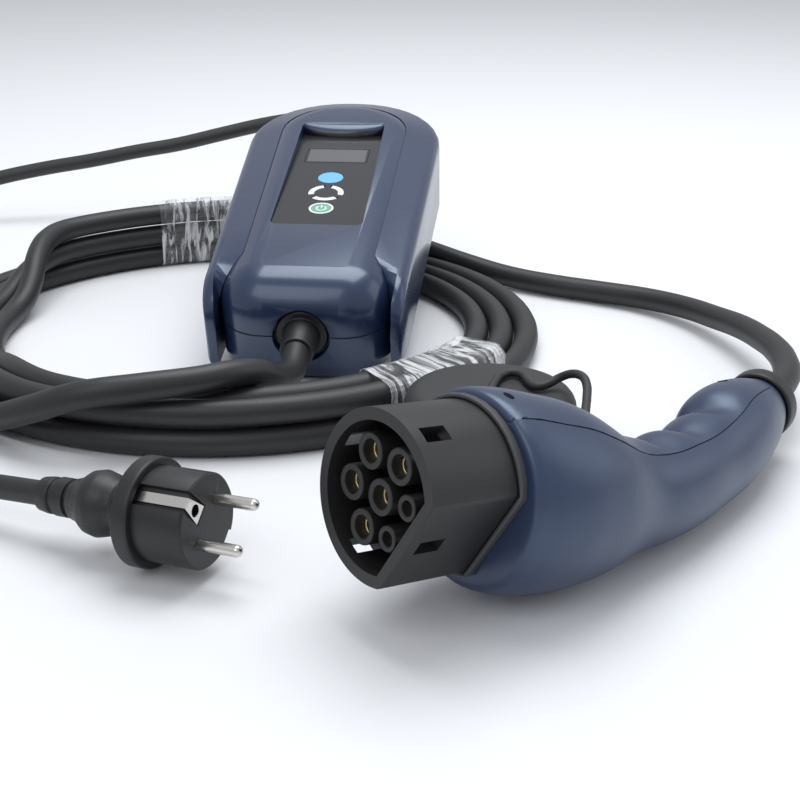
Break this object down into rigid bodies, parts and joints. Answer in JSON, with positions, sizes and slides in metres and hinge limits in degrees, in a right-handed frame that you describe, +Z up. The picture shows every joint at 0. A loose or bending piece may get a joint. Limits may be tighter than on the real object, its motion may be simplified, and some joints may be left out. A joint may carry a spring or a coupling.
{
  "type": "portable electric vehicle charger",
  "caption": "Control box with a display panel, a coiled charging cord to a D-shaped seven-pole connector with a tethered cap, and a short mains lead with an earthed plug.",
  "frame": {"origin": "on the floor, under the middle of the box round the control box, connector and cap", "axes": "+Z up from the floor, +Y along the layout's length from the connector's nose towards the control box's rear, +X across to the right"},
  "size_m": [0.5968, 0.6387, 0.1081],
  "materials": {
    "navy_plastic": "satin, fine grain",
    "black_plastic": "satin",
    "panel_film": "gloss",
    "display_grey": "semi-gloss",
    "blue_light": "clear",
    "green_light": "clear",
    "white_light": "clear",
    "black_rubber": "matt",
    "grey_rubber": "matt",
    "board": "semi-gloss",
    "component": "satin",
    "winding": "satin",
    "contact_metal": "bright",
    "steel": "satin",
    "nickel": "bright",
    "clear_film": "clear, crinkled"
  },
  "bodies": {
    "root": {"box_base": "navy_plastic", "box_cover": "navy_plastic", "side_band": "navy_plastic", "handle_upper": "navy_plastic", "handle_lower": "navy_plastic", "front_gland": "black_plastic", "front_gland_nut": "black_plastic", "rear_gland": "black_plastic", "rear_gland_nut": "black_plastic", "nose_shroud": "black_plastic", "contact_carrier": "black_plastic", "tail_gland": "black_plastic", "tail_nut": "black_plastic", "plug_body": "black_plastic", "cord_clamp": "black_plastic", "display_overlay": "panel_film", "lcd_window": "display_grey", "blue_lens": "blue_light", "green_lens": "green_light", "ring_lenses": "white_light", "box_seal": "black_rubber", "mains_cord": "black_rubber", "ev_cord_lead": "black_rubber", "ev_cord_coil": "black_rubber", "ev_cord_tail": "black_rubber", "cap_strap": "black_rubber", "nose_seal": "grey_rubber", "cap": "grey_rubber", "circuit_board": "board", "lcd_module": "board", "relays": "component", "current_sensor": "component", "capacitors": "component", "terminal_block": "component", "transformer": "winding", "contact_l1": "contact_metal", "contact_l2": "contact_metal", "contact_l3": "contact_metal", "contact_n": "contact_metal", "contact_pe": "contact_metal", "contact_cp": "contact_metal", "contact_pp": "contact_metal", "board_screws": "steel", "plug_pins": "nickel", "earth_clips": "nickel", "coil_tie_left": "clear_film", "coil_tie_right": "clear_film"}
  },
  "joints": []
}
